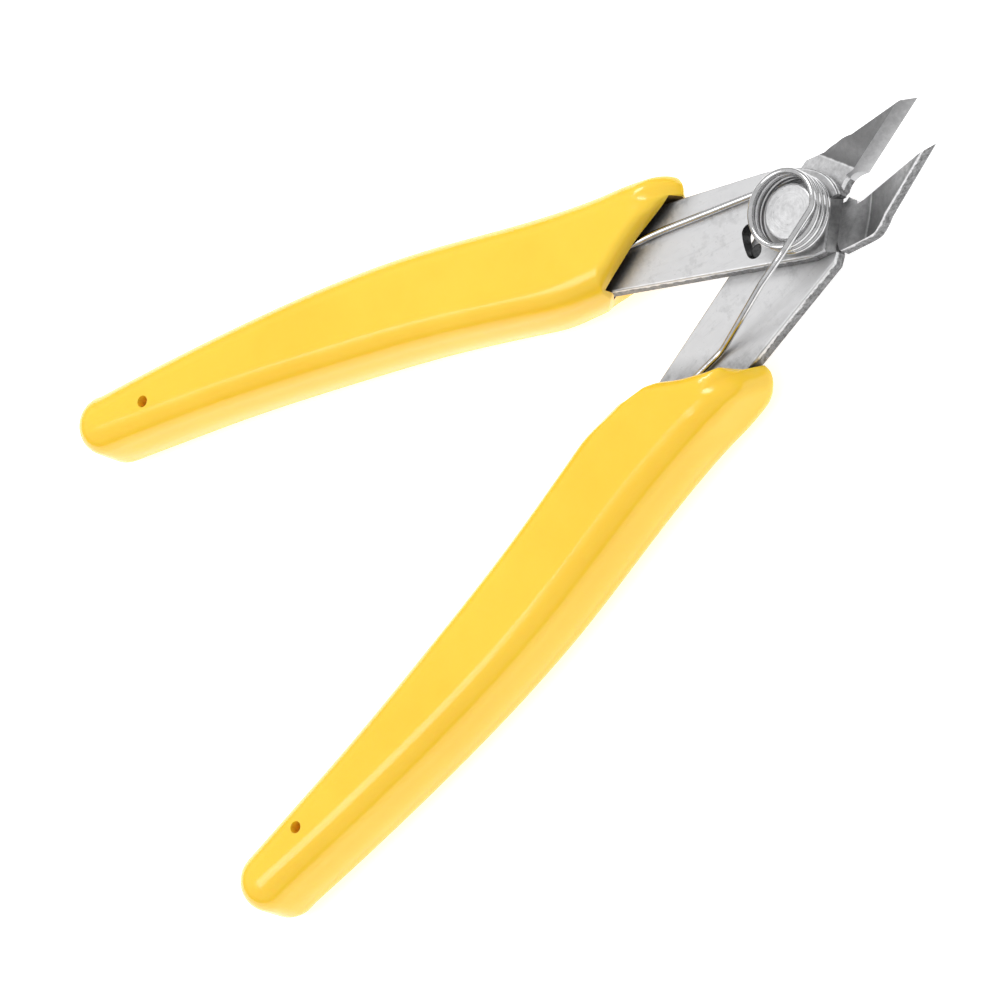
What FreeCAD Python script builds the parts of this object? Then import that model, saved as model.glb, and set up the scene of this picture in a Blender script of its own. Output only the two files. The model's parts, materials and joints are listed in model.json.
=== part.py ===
import FreeCAD, Part
import math
import os

os.makedirs("parts", exist_ok=True)

V = FreeCAD.Vector

# ---------------------------------------------------------------------------
# Driving dimensions, in mm.
#
# Every lever is drawn in its "closed" frame: pivot axis on Z at the origin,
# cutting edge along +X, handle towards -X on the +Y side, jaw on the -Y side.
# The front lever is used as drawn. The rear lever is the mirror image in Y.
# Z = 0 is the plane where the two plates slide on each other.
# ---------------------------------------------------------------------------

PLATE = 2.0              # plate thickness
LAP_GAP = 0.02           # half the running gap between the two plates
OPEN_HALF = 9.2          # each lever's turn from closed to open, degrees
EDGE_GAP = 0.03          # each cutting edge stops this far short of the centre plane
EDGE_ROUND = 0.25        # rounding of the plates' upper edges

# The two straight sides of a lever between its head and its grip.
BACK_EDGE_DIST = 7.24    # pivot to the outer side
BACK_EDGE_ANGLE = -9.16
BELLY_EDGE_DIST = 5.61   # pivot to the inner side
BELLY_EDGE_ANGLE = -15.78

# Front head: a round head that the straight outer side blends into
HEAD_R = 6.15
HEAD_ARC_FROM = 48.0
HEAD_ARC_TO = 4.0
HEAD_BLEND_X = -5.0      # where the straight outer side starts to round off
HEAD_BLEND_MID = (-0.6, 7.12)

# Front neck: one plate lower than the head, below a steep step
NECK_Y = -5.83           # its outer side
NECK_CORNER_X = 3.4      # its lower corner on that side
NECK_TURN = -41.6        # where it stops following the rear head
NECK_CLEAR = 0.1         # gap between it and the rear head
STEP_ANGLE = -25.0       # direction in which it steps down
STEP_BACK = 2.0          # distances along that direction: the step's hidden back,
STEP_TOP = 4.2           # the start of the slope
STEP_FOOT = 5.0          # and its foot
STEP_HIGH = (4.9, 0.35)  # ends of the line where the round head stops at the step
STEP_LOW = (2.2, NECK_Y)

# Rear head, hidden under the front one, and rear neck
HIDDEN_HEAD_R = 4.2
HIDDEN_ARC_FROM = 61.0
REAR_SIDE_END_X = -0.2   # end of the straight outer side
REAR_SHOULDER = (0.95, 6.4)
REAR_NECK_CORNER = 4.0   # the inner side stays straight up to this X
REAR_ROOT = (6.7, -5.92)

# Jaws: the plate is bent upwards and ground to a cutting edge.
BEND_X = 8.6
BEND_ANGLE = 21.0
TIP_X = 21.9
JAW_CORNER = (11.3, -4.4)    # end of the curved jaw root
JAW_SHOULDER = (19.7, -0.95)  # start of the short end facet
ROOT_START_X = 7.4
ROOT_MID = (9.3, -5.5)
BEVEL_SET = 0.85         # how far the bevel leans back from the cutting edge
NOTCH_R = 2.8            # relief behind the cutting edges
NOTCH_CENTRE = (7.75, 2.05)
NOSE_NOTCH_R = 2.0       # the front jaw's relief is shorter, behind a small nose
NOSE_NOTCH_CENTRE = (8.3, 1.25)
NOSE_TIP = (6.5, 0.35)
NOSE_BACK_X = 5.9
NOSE_SLOPE = 0.4         # run of the nose's front slope

# Tang: the hidden stretch of the lever inside its grip
TANG_BEND = (-60.0, 14.05)   # middle of the tang where it follows the grip's curve
TANG_END = (-86.0, 17.3)
TANG_R = 2.55                # half width at the end
TANG_FIT = 0.03              # the grip's pocket is this much larger than the tang

# Pivot rivet
HEAD_DISC_R = 3.7
HEAD_TOP = 4.45
SHANK_R = 2.5
SHANK_GAP = 0.05         # radial running clearance in the front lever
SEAT_GAP = 0.01          # radial clearance of a pressed-in pin
TAIL_R = 3.3
TAIL_DEPTH = 0.9
DISC_CHAMFER = 0.25
RIVET_LAP = 0.1          # how far the shank runs into the head

# Stop pin and its curved slot
STOP_R = 7.55            # pivot to pin
STOP_ANGLE = 172.1       # pin's direction, levers closed
PIN_R = 1.05
PIN_TOP = 1.2
PIN_CHAMFER = 0.2
SLOT_HALF = 1.15
SLOT_SPARE = 0.6         # extra slot travel past each limit, degrees

# Torsion spring
WIRE_R = 0.44
COIL_R = 4.85            # mean radius
COIL_BOTTOM = 2.62       # wire centre where the lower leg meets the coil
COIL_PITCH = 1.08
LEG_IN_ANGLE = 75.4      # direction of the point where the lower leg meets the coil
LEG_OUT_ANGLE = -20.0    # direction of the point where the upper leg leaves it
COIL_TURNS = 3           # full turns besides the part between those two points
WIRE_REST = 0.03         # height of a resting wire above its plate
# Bends of the lower leg: how far along it, and how far across and down from straight.
LOWER_LEG_BENDS = [(3.0, 0.0, 0.0), (21.0, 0.0, 0.12), (29.5, 0.7, 0.12)]
UPPER_LEG_BENDS = [(-2.4, -5.75), (-6.9, -6.75), (-17.7, -8.8), (-28.0, -10.7)]
UPPER_LEG_KNEE_Z = 5.0

# Grips
GRIP_T = 11.0            # thickness
GRIP_ROUND = 3.2         # edge rounding
HOLE_R = 0.8             # small hole near the end
HOLE_AT = (-100.8, 17.5)
FLARE_ABOVE = 1.5        # the mouth opens this far above and below the plate
FLARE_SIDE = 0.4         # and this far beside its outer side
FLARE_DEPTH = 9.0        # along the lever
FLARE_BACK = 1.2         # and towards its outer side

# Outer and inner sides of the sleeve in plan, from the mouth to the end.
GRIP_BACK = [(-12.0, 13.5), (-27.0, 14.55), (-40.0, 16.55), (-55.0, 19.3), (-75.0, 21.3), (-108.0, 22.05)]
GRIP_BELLY = [(-109.0, 14.0), (-90.0, 12.35), (-72.0, 9.8), (-56.0, 6.9), (-42.0, 3.6), (-33.5, 2.1)]
BELLY_RUN_OUT = (-12.0, 2.1)
GRIP_END = (-112.4, 17.9)

# The mouth: a rounded outer ear, then a long slanted lip to the inner corner.
EAR = [(-19.5, 15.0), (-14.5, 12.3), (-15.7, 9.3)]
LIP = [(-15.7, 9.3), (-23.8, 6.5), (-30.6, 1.0)]
MOUTH_REACH_X = -5.0     # the mouth's cutter ends here

# Sizes of the cutting tools, all larger than what they cut
BELOW = -5.0
ABOVE = 12.0
ARM_FRONT_X = -5.0

# ---------------------------------------------------------------------------
# Small geometry helpers
# ---------------------------------------------------------------------------

def unit(angle):
    a = math.radians(angle)
    return V(math.cos(a), math.sin(a), 0)


def on_circle(radius, angle, z=0.0):
    p = unit(angle) * radius
    return V(p.x, p.y, z)


def edge_y(dist, angle, x):
    """Height at x of the line that passes the pivot at a distance."""
    a = math.radians(angle)
    return dist / math.cos(a) + x * math.tan(a)


def back_edge(x):
    return V(x, edge_y(BACK_EDGE_DIST, BACK_EDGE_ANGLE, x), 0)


def belly_edge(x):
    return V(x, edge_y(-BELLY_EDGE_DIST, BELLY_EDGE_ANGLE, x), 0)


def flat(pair):
    """Point of the plan."""
    return V(pair[0], pair[1], 0)


def line(a, b):
    return Part.makeLine(a, b)


def arc(a, mid, b):
    return Part.Arc(a, mid, b).toShape()


def curve(points, start=None, end=None):
    """Smooth curve through points, with optional end directions."""
    spline = Part.BSplineCurve()
    if start is None:
        spline.interpolate(points)
    else:
        spline.interpolate(points, InitialTangent=start, FinalTangent=end)
    return spline.toShape()


def prism(edges, low, high):
    """Solid over a plan outline, between two heights."""
    face = Part.Face(Part.Wire(Part.__sortEdges__(edges)))
    face.translate(V(0, 0, low))
    return face.extrude(V(0, 0, high - low))


def polygon_face(points):
    return Part.Face(Part.makePolygon(points + points[:1]))


def cylinder(radius, low, high, x=0.0, y=0.0):
    return Part.makeCylinder(radius, high - low, V(x, y, low))


def mirror_y(shape):
    return shape.mirror(V(0, 0, 0), V(0, 1, 0))


def turn(shape, degrees):
    moved = shape.copy()
    moved.rotate(V(0, 0, 0), V(0, 0, 1), degrees)
    return moved


def one_solid(shape):
    """The single clean solid inside a boolean result."""
    clean = shape.removeSplitter()
    return max(clean.Solids, key=lambda s: s.Volume)


def rounded_rim(solid, outline, level):
    """Rounds the solid's upper edges that stand over the given plan edges."""
    rims = []
    for edge in solid.Edges:
        middle = edge.valueAt((edge.FirstParameter + edge.LastParameter) / 2)
        foot = Part.Vertex(middle.x, middle.y, 0)
        beside = min(foot.distToShape(e)[0] for e in outline)
        if beside < 0.01 and abs(middle.z - level(middle.x)) < 0.01:
            rims.append(edge)
    return solid.makeFillet(EDGE_ROUND, rims)


# ---------------------------------------------------------------------------
# Levers
# ---------------------------------------------------------------------------

def tang_sides(grow):
    """Plan edges round the tang, from its outer side to its inner side, and their two ends."""
    bend_x = TANG_BEND[0]
    end = flat(TANG_END)
    along = (end - flat(TANG_BEND)).normalize()
    side = V(along.y, -along.x, 0)
    radius = TANG_R + grow
    outer = back_edge(bend_x) + V(0, grow, 0)
    inner = belly_edge(bend_x) - V(0, grow, 0)
    upper = end + side * radius
    lower = end - side * radius
    edges = [
        line(outer, upper),
        arc(upper, end + along * radius, lower),
        line(lower, inner),
    ]
    return edges, outer, inner


def jaw_side(start):
    """Plan edges of a jaw's outer side, from the neck to the tip."""
    corner = flat(JAW_CORNER)
    shoulder = flat(JAW_SHOULDER)
    return [
        arc(start, flat(ROOT_MID), corner),
        line(corner, shoulder),
        line(shoulder, V(TIP_X, -EDGE_GAP, 0)),
    ]


def front_head_outline():
    """Front lever's plate above the lap plane: the rims that show, then the edges at the step."""
    tang, back_at, belly_at = tang_sides(0)
    blend = back_edge(HEAD_BLEND_X)
    head_start = on_circle(HEAD_R, HEAD_ARC_FROM)
    head_mid = on_circle(HEAD_R, (HEAD_ARC_FROM + HEAD_ARC_TO) / 2)
    head_end = on_circle(HEAD_R, HEAD_ARC_TO)
    belly_end = V(0, NECK_Y, 0)
    blend_way = unit(BACK_EDGE_ANGLE)
    round_way = unit(HEAD_ARC_FROM - 90)
    rims = tang + [
        line(back_at, blend),
        curve([blend, flat(HEAD_BLEND_MID), head_start], blend_way, round_way),
        arc(head_start, head_mid, head_end),
        line(belly_end, belly_at),
    ]
    return rims, [
        line(head_end, flat(STEP_HIGH)),
        line(flat(STEP_HIGH), flat(STEP_LOW)),
        line(flat(STEP_LOW), belly_end),
    ]


def front_neck_outline():
    """Front neck and jaw below the lap plane: the rims that show, then the inner edges."""
    start = V(ROOT_START_X, NECK_Y, 0)
    corner = V(NECK_CORNER_X, NECK_Y, 0)
    nose = flat(NOSE_TIP)
    nose_back = V(NOSE_BACK_X, -EDGE_GAP, 0)
    nose_front = V(NOSE_TIP[0] + NOSE_SLOPE, -EDGE_GAP, 0)
    r = HIDDEN_HEAD_R + NECK_CLEAR
    inner_top = V(math.sqrt(r * r - EDGE_GAP * EDGE_GAP), -EDGE_GAP, 0)
    inner_turn = on_circle(r, NECK_TURN)
    rims = jaw_side(start) + [line(corner, start)]
    return rims, [
        line(V(TIP_X, -EDGE_GAP, 0), nose_front),
        line(nose_front, nose),
        line(nose, nose_back),
        line(nose_back, inner_top),
        arc(inner_top, on_circle(r, NECK_TURN / 2), inner_turn),
        line(inner_turn, corner),
    ]


def rear_outline():
    """Rear lever in plan, drawn as if it were a front lever: outer rims, then hidden edges."""
    tang, back_at, belly_at = tang_sides(0)
    root = flat(REAR_ROOT)
    neck_corner = belly_edge(REAR_NECK_CORNER)
    back_end = back_edge(REAR_SIDE_END_X)
    shoulder = flat(REAR_SHOULDER)
    hidden_top = on_circle(HIDDEN_HEAD_R, HIDDEN_ARC_FROM)
    hidden_mid = on_circle(HIDDEN_HEAD_R, HIDDEN_ARC_FROM / 2)
    hidden_x = math.sqrt(HIDDEN_HEAD_R ** 2 - EDGE_GAP ** 2)
    hidden_end = V(hidden_x, -EDGE_GAP, 0)
    rims = tang + jaw_side(root) + [
        line(back_at, back_end),
        line(root, neck_corner),
        line(neck_corner, belly_at),
    ]
    return rims, [
        line(back_end, shoulder),
        line(shoulder, hidden_top),
        arc(hidden_top, hidden_mid, hidden_end),
        line(hidden_end, V(TIP_X, -EDGE_GAP, 0)),
    ]


def jaw_slope():
    return math.tan(math.radians(BEND_ANGLE))


def low_bend_x():
    """Where the plate's lower face bends, behind the upper face's bend."""
    return BEND_X + PLATE * math.tan(math.radians(BEND_ANGLE / 2))


def bent_top(x):
    """Height of the bent plate's upper face."""
    return -LAP_GAP + max(0, x - BEND_X) * jaw_slope()


def bent_plate(left):
    """Lower plate with its upward bend, wider than any lever."""
    right = TIP_X + 2
    half_width = 20
    low_rise = (right - low_bend_x()) * jaw_slope()
    face = polygon_face([
        V(left, -half_width, -LAP_GAP),
        V(BEND_X, -half_width, -LAP_GAP),
        V(right, -half_width, bent_top(right)),
        V(right, -half_width, low_rise - PLATE),
        V(low_bend_x(), -half_width, -PLATE),
        V(left, -half_width, -PLATE),
    ])
    return face.extrude(V(0, 2 * half_width, 0))


def bevel_cutter():
    """Block that leans the jaw's inner wall back from the cutting edge."""
    reach = 3.0
    height = reach * PLATE / math.cos(math.radians(BEND_ANGLE))
    low = -PLATE + (ROOT_START_X - low_bend_x()) * jaw_slope()
    base = V(ROOT_START_X, -EDGE_GAP, low)
    face = polygon_face([
        base,
        base + V(0, -BEVEL_SET * reach, height),
        base + V(0, NOTCH_R * 2, height),
        base + V(0, NOTCH_R * 2, 0),
    ])
    run = TIP_X + 2 - ROOT_START_X
    return face.extrude(V(run, 0, run * jaw_slope()))


def step_wedge():
    """Slope that takes the front plate down to the neck's level, wider than the neck."""
    ahead = unit(STEP_ANGLE)
    across = unit(STEP_ANGLE + 90) * 15
    face = polygon_face([
        ahead * STEP_BACK + V(0, 0, -LAP_GAP),
        ahead * STEP_BACK + V(0, 0, PLATE),
        ahead * STEP_TOP + V(0, 0, PLATE),
        ahead * STEP_FOOT + V(0, 0, -LAP_GAP),
    ])
    face.translate(across * -1)
    return face.extrude(across * 2)


def neck_step():
    """The step between head and neck. Its foot keeps off the rear head."""
    length = 6.0
    width = STEP_HIGH[1] - NECK_Y
    room = Part.makeBox(length, width, PLATE + LAP_GAP, V(1, NECK_Y, -LAP_GAP))
    step = step_wedge().common(room)
    rims, inner = front_neck_outline()
    over = step.common(cylinder(HEAD_R * 3, LAP_GAP, PLATE))
    foot = step.common(prism(rims + inner, -LAP_GAP, LAP_GAP))
    return [over, foot]


def stop_slot():
    """Curved slot: an arc band about the pivot with round ends."""
    first = STOP_ANGLE - SLOT_SPARE
    last = STOP_ANGLE + 2 * OPEN_HALF + SLOT_SPARE
    middle = (first + last) / 2
    edges = []
    for radius in (STOP_R + SLOT_HALF, STOP_R - SLOT_HALF):
        edges.append(arc(on_circle(radius, first), on_circle(radius, middle), on_circle(radius, last)))
    for angle, way in ((first, -90), (last, 90)):
        outer = on_circle(STOP_R + SLOT_HALF, angle)
        inner = on_circle(STOP_R - SLOT_HALF, angle)
        cap = on_circle(STOP_R, angle) + unit(angle + way) * SLOT_HALF
        edges.append(arc(outer, cap, inner))
    return prism(edges, BELOW, ABOVE)


def notch(centre, radius):
    return cylinder(radius, BELOW, ABOVE, centre[0], centre[1])


def front_lever():
    rims, step_edges = front_head_outline()
    head = prism(rims + step_edges, LAP_GAP, PLATE)
    head = rounded_rim(head, rims, lambda x: PLATE)
    rims, inner = front_neck_outline()
    jaw = prism(rims + inner, BELOW, ABOVE).common(bent_plate(0))
    jaw = rounded_rim(jaw, rims, bent_top)
    body = head.fuse([jaw] + neck_step())
    body = body.cut(notch(NOSE_NOTCH_CENTRE, NOSE_NOTCH_R))
    body = body.cut(bevel_cutter())
    body = body.cut(cylinder(SHANK_R + SHANK_GAP, BELOW, ABOVE))
    body = body.cut(stop_slot())
    return one_solid(body)


def rear_lever():
    rims, hidden = rear_outline()
    body = prism(rims + hidden, BELOW, ABOVE).common(bent_plate(-100))
    body = rounded_rim(body, rims, bent_top)
    body = body.cut(notch(NOTCH_CENTRE, NOTCH_R))
    body = body.cut(bevel_cutter())
    body = body.cut(cylinder(SHANK_R + SEAT_GAP, BELOW, 0))
    pin = on_circle(STOP_R, -STOP_ANGLE)
    body = body.cut(cylinder(PIN_R + SEAT_GAP, BELOW, 0, pin.x, pin.y))
    return one_solid(body)


# ---------------------------------------------------------------------------
# Rivet, stop pin and spring
# ---------------------------------------------------------------------------

def chamfered_disc(radius, seat, face, cut):
    """Disc turned about the pivot, chamfered round its outer face."""
    way = math.copysign(cut, face - seat)
    half = polygon_face([
        V(0, 0, seat),
        V(radius, 0, seat),
        V(radius, 0, face - way),
        V(radius - cut, 0, face),
        V(0, 0, face),
    ])
    return half.revolve(V(0, 0, 0), V(0, 0, 1), 360)


def pivot_rivet():
    head = chamfered_disc(HEAD_DISC_R, PLATE + LAP_GAP, HEAD_TOP, DISC_CHAMFER)
    shank = cylinder(SHANK_R, -PLATE - RIVET_LAP, PLATE + RIVET_LAP)
    tail = chamfered_disc(TAIL_R, -PLATE, -PLATE - TAIL_DEPTH, DISC_CHAMFER * 2)
    return one_solid(head.fuse([shank, tail]))


def stop_pin():
    at = on_circle(STOP_R, STOP_ANGLE)
    pin = cylinder(PIN_R, -PLATE, PIN_TOP, at.x, at.y)
    rim = [e for e in pin.Edges if e.Closed and abs(e.CenterOfMass.z - PIN_TOP) < 0.01]
    return one_solid(pin.makeChamfer(PIN_CHAMFER, rim))


def leg_wire(points, radii):
    """Straight runs through points, joined by tangent arcs of given radii."""
    edges = []
    start = points[0]
    for before, at, after, radius in zip(points, points[1:], points[2:], radii):
        back = (before - at).normalize()
        ahead = (after - at).normalize()
        half = back.getAngle(ahead) / 2
        reach = radius / math.tan(half)
        first = at + back * reach
        last = at + ahead * reach
        bisector = (back + ahead).normalize()
        middle = at + bisector * (radius / math.sin(half) - radius)
        edges.append(line(start, first))
        edges.append(arc(first, middle, last))
        start = last
    edges.append(line(start, points[-1]))
    return edges


def swept_wire(edges):
    path = Part.Wire(edges)
    first = edges[0]
    start = first.valueAt(first.FirstParameter)
    heading = first.tangentAt(first.FirstParameter)
    ring = Part.Wire(Part.makeCircle(WIRE_R, start, heading))
    return path.makePipeShell([ring], True, True)


def coil():
    """The turns round the pivot head, rising clockwise seen from above."""
    turned = COIL_TURNS * 360 + LEG_IN_ANGLE - LEG_OUT_ANGLE
    height = COIL_PITCH * turned / 360
    path = Part.makeLongHelix(COIL_PITCH, height, COIL_R, 0, True)
    path.rotate(V(0, 0, 0), V(0, 0, 1), LEG_IN_ANGLE)
    path.translate(V(0, 0, COIL_BOTTOM))
    start = on_circle(COIL_R, LEG_IN_ANGLE, COIL_BOTTOM)
    ring = Part.Wire(Part.makeCircle(WIRE_R, start, unit(LEG_IN_ANGLE - 90)))
    return path.makePipeShell([ring], True, True), COIL_BOTTOM + height


def lower_leg():
    """From the coil's first turn straight along the front lever into its grip."""
    start = on_circle(COIL_R, LEG_IN_ANGLE, COIL_BOTTOM)
    away = unit(LEG_IN_ANGLE + 90)
    points = [start]
    for along, across, down in LOWER_LEG_BENDS:
        points.append(start + away * along - V(0, across, down))
    return leg_wire(points, [15.0, 40.0])


def upper_leg(top):
    """From the top turn across the coil, then down to the rear lever and into its grip."""
    start = on_circle(COIL_R, LEG_OUT_ANGLE, top)
    corner = start + unit(LEG_OUT_ANGLE - 90) * 0.9
    rest = WIRE_R + WIRE_REST
    heights = [top + 0.05, UPPER_LEG_KNEE_Z, rest, rest]
    points = [start, corner] + [V(x, y, z) for (x, y), z in zip(UPPER_LEG_BENDS, heights)]
    return leg_wire(points, [2.0, 6.0, 3.0, 5.0])


def torsion_spring():
    turns, top = coil()
    return one_solid(turns.fuse([swept_wire(lower_leg()), swept_wire(upper_leg(top))]))


# ---------------------------------------------------------------------------
# Grips
# ---------------------------------------------------------------------------

def flats(pairs):
    return [flat(p) for p in pairs]


def grip_outline():
    back = flats(GRIP_BACK)
    belly = flats(GRIP_BELLY)
    run_out = flat(BELLY_RUN_OUT)
    return [
        curve(back, V(-1, 0.02, 0), V(-1, 0, 0)),
        arc(back[-1], flat(GRIP_END), belly[0]),
        curve(belly, V(1, -0.12, 0), V(1, 0, 0)),
        line(belly[-1], run_out),
        line(run_out, back[0]),
    ]


def mouth_cutter():
    """Everything in front of the mouth's rim."""
    ear = flats(EAR)
    lip = flats(LIP)
    low = V(MOUTH_REACH_X, lip[-1].y, 0)
    high = V(MOUTH_REACH_X, ear[0].y, 0)
    edges = [
        arc(*ear),
        arc(*lip),
        line(lip[-1], low),
        line(low, high),
        line(high, ear[0]),
    ]
    return prism(edges, -GRIP_T, GRIP_T)


def grip_blank():
    """Sleeve with rounded long edges, running on past the mouth."""
    blank = prism(grip_outline(), -GRIP_T / 2, GRIP_T / 2)
    rims = []
    for edge in blank.Edges:
        middle = edge.CenterOfMass
        on_face = abs(abs(middle.z) - GRIP_T / 2) < 0.01
        if on_face and middle.x < BELLY_RUN_OUT[0] - 1:
            rims.append(edge)
    return blank.makeFillet(GRIP_ROUND, rims)


def arm_room(back_grow, belly_grow, low, high):
    """Space round the lever's arm and tang, from the tang's end to the head."""
    tang, back_at, belly_at = tang_sides(max(back_grow, belly_grow))
    back_front = back_edge(ARM_FRONT_X) + V(0, back_grow, 0)
    belly_front = belly_edge(ARM_FRONT_X) - V(0, belly_grow, 0)
    edges = tang + [
        line(back_at, back_front),
        line(back_front, belly_front),
        line(belly_front, belly_at),
    ]
    return prism(edges, low, high)


def grip():
    pocket = arm_room(TANG_FIT, TANG_FIT, 0, PLATE + TANG_FIT)
    flare = arm_room(FLARE_SIDE, TANG_FIT, -FLARE_ABOVE, PLATE + FLARE_ABOVE)
    reach = mouth_cutter()
    reach.translate(V(-FLARE_DEPTH, FLARE_BACK, 0))
    hole = cylinder(HOLE_R, -GRIP_T, GRIP_T, HOLE_AT[0], HOLE_AT[1])
    body = grip_blank().cut(mouth_cutter())
    return one_solid(body.cut([pocket, flare.common(reach), hole]))


# ---------------------------------------------------------------------------
# Assembly, levers open on the stop
# ---------------------------------------------------------------------------

def front_pose(shape):
    return turn(shape, -OPEN_HALF)


def rear_pose(shape):
    return turn(shape, OPEN_HALF)


def turned_over(shape):
    flipped = shape.copy()
    flipped.rotate(V(0, 0, 0), V(1, 0, 0), 180)
    return flipped


def assembly():
    sleeve = grip()
    return {
        "lever_front": front_pose(front_lever()),
        "lever_rear": rear_pose(mirror_y(rear_lever())),
        "pivot_rivet": pivot_rivet(),
        "stop_pin": rear_pose(stop_pin()),
        "torsion_spring": torsion_spring(),
        "grip_front": front_pose(sleeve),
        "grip_rear": rear_pose(turned_over(sleeve)),
    }


def base_centre(shapes):
    """Middle of the whole tool's box in plan, at its lowest level."""
    low = [math.inf] * 3
    high = [-math.inf] * 3
    for shape in shapes:
        box = shape.optimalBoundingBox(False, False)
        low = [min(a, b) for a, b in zip(low, (box.XMin, box.YMin, box.ZMin))]
        high = [max(a, b) for a, b in zip(high, (box.XMax, box.YMax, box.ZMax))]
    return V((low[0] + high[0]) / 2, (low[1] + high[1]) / 2, low[2])


nodes = assembly()
origin = base_centre(nodes.values())
print("pivot in the part's frame, mm:", -origin)
for name, shape in nodes.items():
    shape.translate(-origin)
    shape.exportStep("parts/" + name + ".step")
    print(name, shape.isValid(), round(shape.Volume, 2))
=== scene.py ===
import json
import math

import bmesh
import bpy
import numpy as np
from mathutils import Matrix, Vector


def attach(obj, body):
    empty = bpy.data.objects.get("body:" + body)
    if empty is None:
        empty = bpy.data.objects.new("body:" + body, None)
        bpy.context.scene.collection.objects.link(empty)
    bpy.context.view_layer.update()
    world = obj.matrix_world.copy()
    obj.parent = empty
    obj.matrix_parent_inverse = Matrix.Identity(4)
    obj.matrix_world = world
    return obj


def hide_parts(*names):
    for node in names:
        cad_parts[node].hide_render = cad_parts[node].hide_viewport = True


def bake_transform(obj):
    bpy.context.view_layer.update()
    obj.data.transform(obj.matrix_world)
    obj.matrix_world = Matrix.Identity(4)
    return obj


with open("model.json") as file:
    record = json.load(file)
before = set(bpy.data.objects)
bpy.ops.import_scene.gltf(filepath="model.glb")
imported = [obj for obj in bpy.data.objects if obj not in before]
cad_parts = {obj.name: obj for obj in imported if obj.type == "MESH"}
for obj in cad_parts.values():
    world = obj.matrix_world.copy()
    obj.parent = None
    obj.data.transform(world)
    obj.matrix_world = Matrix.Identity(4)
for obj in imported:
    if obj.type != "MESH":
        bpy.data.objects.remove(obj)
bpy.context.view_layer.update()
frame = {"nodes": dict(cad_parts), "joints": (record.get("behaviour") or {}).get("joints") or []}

# ---------------------------------------------------------------------------
# Measures. All lengths below are in mm in the pivot frame: pivot axis on Z,
# jaws towards +X, and Z = 0 where the two lever plates slide on each other.
# "Closed frame" means that frame turned with a lever, with its cutting edge
# on +X and its handle on the +Y side (mirrored for the rear lever).
# ---------------------------------------------------------------------------

MM = 0.001
PIVOT = Vector(frame["joints"][0]["pos_m"])
OPEN_HALF = math.radians(frame["joints"][0]["range_deg"][1] / 2)
SPACE = Matrix.Translation(PIVOT) @ Matrix.Scale(MM, 4)
FRONT = SPACE @ Matrix.Rotation(-OPEN_HALF, 4, "Z")
REAR = SPACE @ Matrix.Rotation(OPEN_HALF, 4, "Z") @ Matrix.Diagonal((1, -1, 1, 1))
REAR_TURNED_OVER = SPACE @ Matrix.Rotation(OPEN_HALF, 4, "Z") @ Matrix.Rotation(math.pi, 4, "X")

# Levers: plate thickness, where the step starts, where the jaw bends and how steeply it rises
PLATE = 2.0
STEP_X = 2.4
BEND_X = 8.6
BEND_SLOPE = math.tan(math.radians(21.0))
# Edges of a lever's arm: where they pass the pivot, and their slope
BACK_EDGE_Y = 7.333
BACK_EDGE_SLOPE = -0.1612
BELLY_EDGE_Y = -5.83
BELLY_EDGE_SLOPE = -0.2826
# Tone of clean plate, and half the width over which one finish turns into the next
PLATE_LIGHT = 0.65
FINISH_BLUR = 0.06
# Line of the grip's mouth: a direction across it and its place along that
MOUTH_ACROSS = (0.517, -0.856)
MOUTH_LINE = -17.1
# Where the faces of holes, slot and ground edge are found
SHANK_HOLE_REACH = 2.65
SLOT_X = (-8.8, -6.0)
SLOT_REACH = 3.0
BEVEL_START = (7.3, -1.3)
STEP_END_X = 7.0

# Grips, in the closed frame: half thickness and edge radii, then the outline's four stretches
GRIP_HALF = 5.5
SHOULDER = 3.3
LIP_ROUND = 1.7
END_ROUND = 3.6
GRIP_APEX = (-113.2, 17.5)
GRIP_BACK = [(-108.2, 22.5), (-75.0, 21.9), (-55.0, 19.75), (-40.0, 16.8), (-27.0, 14.85), (-20.5, 14.2)]
GRIP_EAR = [(-20.5, 14.2), (-18.2, 13.85), (-16.3, 13.2), (-15.6, 11.9), (-15.8, 10.4)]
GRIP_BELLY = [(-109.5, 14.5), (-90.0, 12.5), (-72.0, 9.8), (-56.0, 6.9), (-42.0, 3.6), (-35.0, 2.25),
              (-29.8, 1.95)]
GRIP_LIP = [(-15.8, 10.4), (-17.3, 9.75), (-19.3, 8.95), (-21.0, 8.05), (-23.0, 6.95), (-25.2, 5.4),
            (-27.2, 3.95), (-28.8, 2.75), (-29.8, 1.95)]
# The end cap, the body, the mouth and the rim, as shares of the outline's length
BODY_FROM = 0.07
MOUTH_FROM = 0.80
RIM_FROM = 0.983
END_REACH = 16.0
# How far the side walls bulge, and where that fades: towards the mouth, and near the end
SIDE_BULGE = 0.25
BULGE_FADE_X = (-23.0, -30.0)
BULGE_END_REACH = 8.0
WALL_LEVELS = (0.75, 0.5, 0.25, 0, -0.25, -0.5, -0.75)
# How the mouth leans back: mm of recess for each mm below (lip, corner) or above (ear) a height
LIP_LEAN = 0.6
CORNER_LEAN = 0.75
LIP_LEAN_FROM = 1.5
LIP_LEAN_MIDDLE = 0.3
EAR_LEAN = 0.8
EAR_LEAN_FROM = 1.8
RECESS_RISE = 0.2
# Over which stretches the lean comes in
EAR_X = (-28.0, -18.0)
EAR_Y = (8.8, 10.8)
CORNER_X = (-48.0, -31.0)
CORNER_Y = (5.5, 2.5)
MIDDLE_X = (-40.0, -28.0)
# Small hole near the end, and the pocket for the lever's tang
HOLE_R = 0.8
HOLE_AT = (-100.8, 17.5)
TANG_END = (-86.0, 17.3)
TANG_R = 2.55
TANG_RUN = (-26.0, 3.25)
TANG_GAP = 0.03
ARM_FROM = -5.0
ARM_TO = -60.0
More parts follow.
